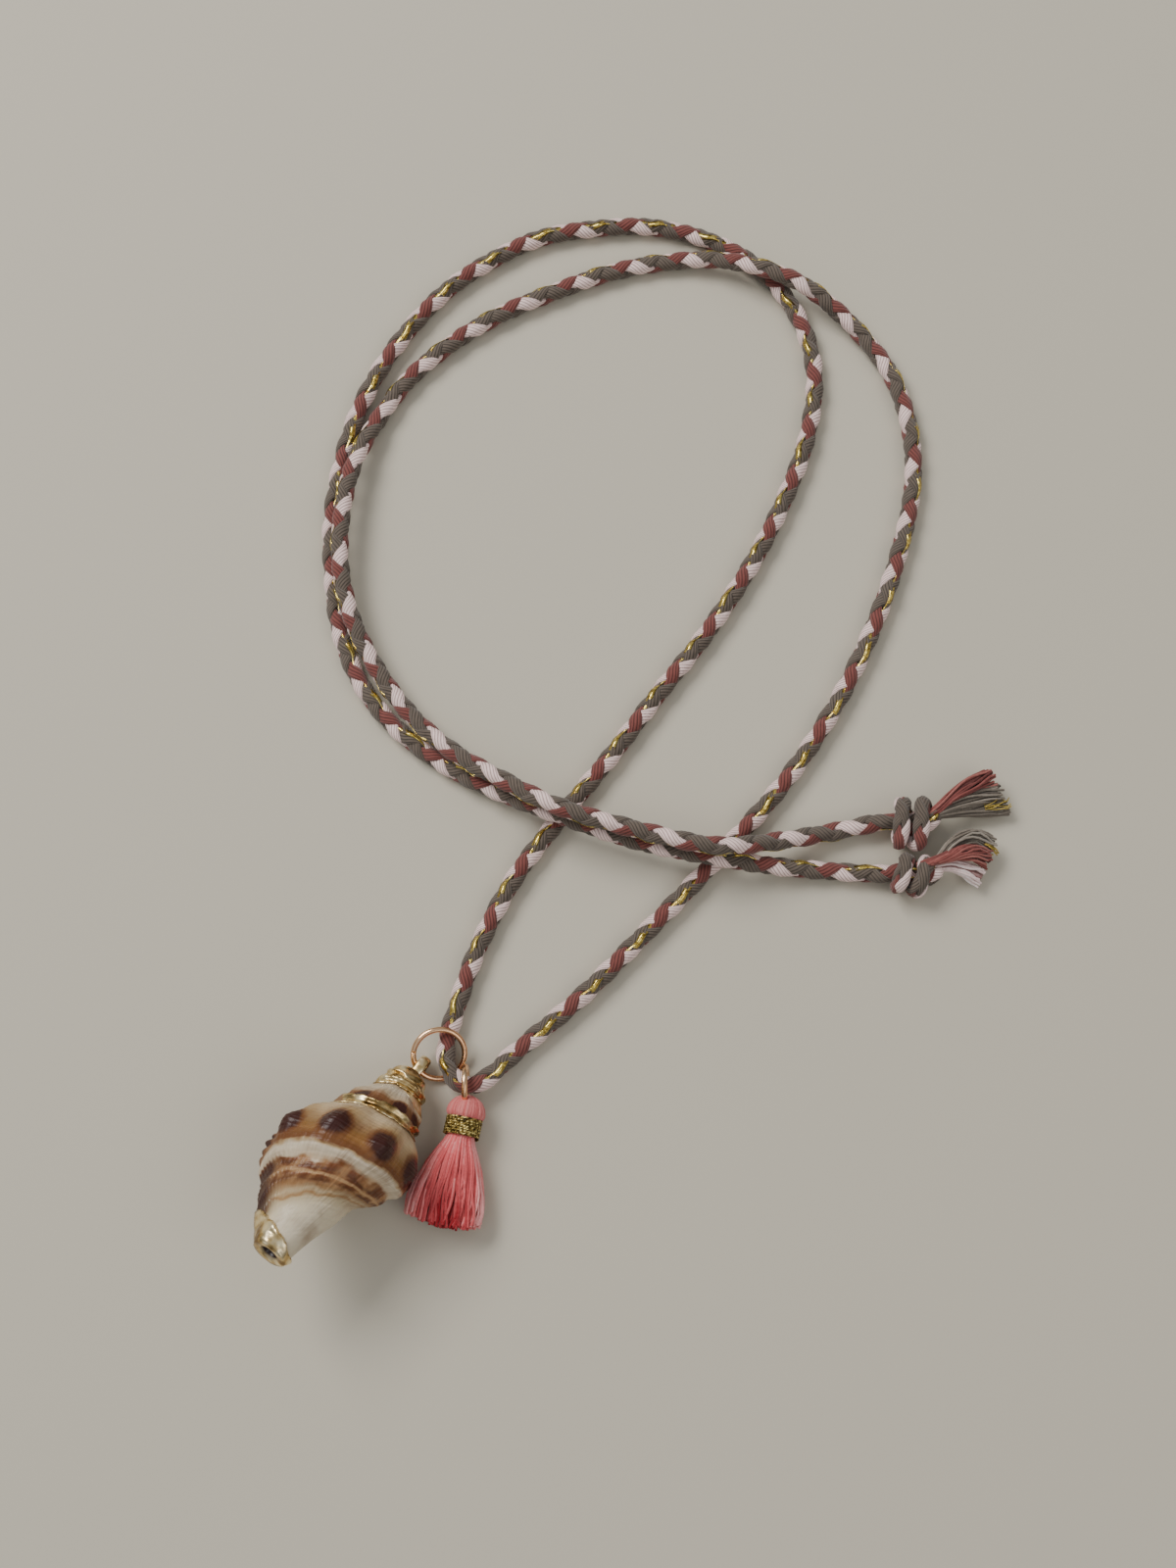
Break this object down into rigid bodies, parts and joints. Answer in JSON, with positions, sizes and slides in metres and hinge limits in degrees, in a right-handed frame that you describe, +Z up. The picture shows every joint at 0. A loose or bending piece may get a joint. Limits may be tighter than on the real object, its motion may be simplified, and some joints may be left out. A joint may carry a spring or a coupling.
{
  "type": "shell necklace",
  "caption": "Braided cord necklace laid in an open coil, folded at a gilded sea-shell pendant on a jump ring with a small tassel, its two ends in overhand knots with frayed tufts.",
  "frame": {"origin": "on the surface the necklace lies on, under the middle of its bounding box", "axes": "+X to the right across the coil towards the knotted ends, +Y away from the pendant, +Z up from the surface"},
  "size_m": [0.1102, 0.1682, 0.0188],
  "materials": {
    "braid": "round braid of rose, taupe and pale pink cotton yarn with a gold filament",
    "yarn": "frayed cotton yarn",
    "shell": "glossy sea shell, cream with brown bands and dark knobs",
    "gold": "gold leaf and electroformed gold, lumpy and bright",
    "copper_wire": "polished rose-gold coloured wire",
    "tassel_thread": "fine silky coral thread",
    "metallic_thread": "twisted metallic thread, old gold"
  },
  "bodies": {
    "root": {"cord_under": "braid", "cord_over": "braid", "knot_lower": "braid", "knot_upper": "braid", "tuft_lower": "yarn", "tuft_upper": "yarn", "shell": "shell", "suture_gilding": "gold", "apex_cap": "gold", "canal_gilding": "gold", "shell_ring": "copper_wire", "tassel_ring": "copper_wire", "tassel": "tassel_thread", "tassel_binding": "metallic_thread"}
  },
  "joints": []
}
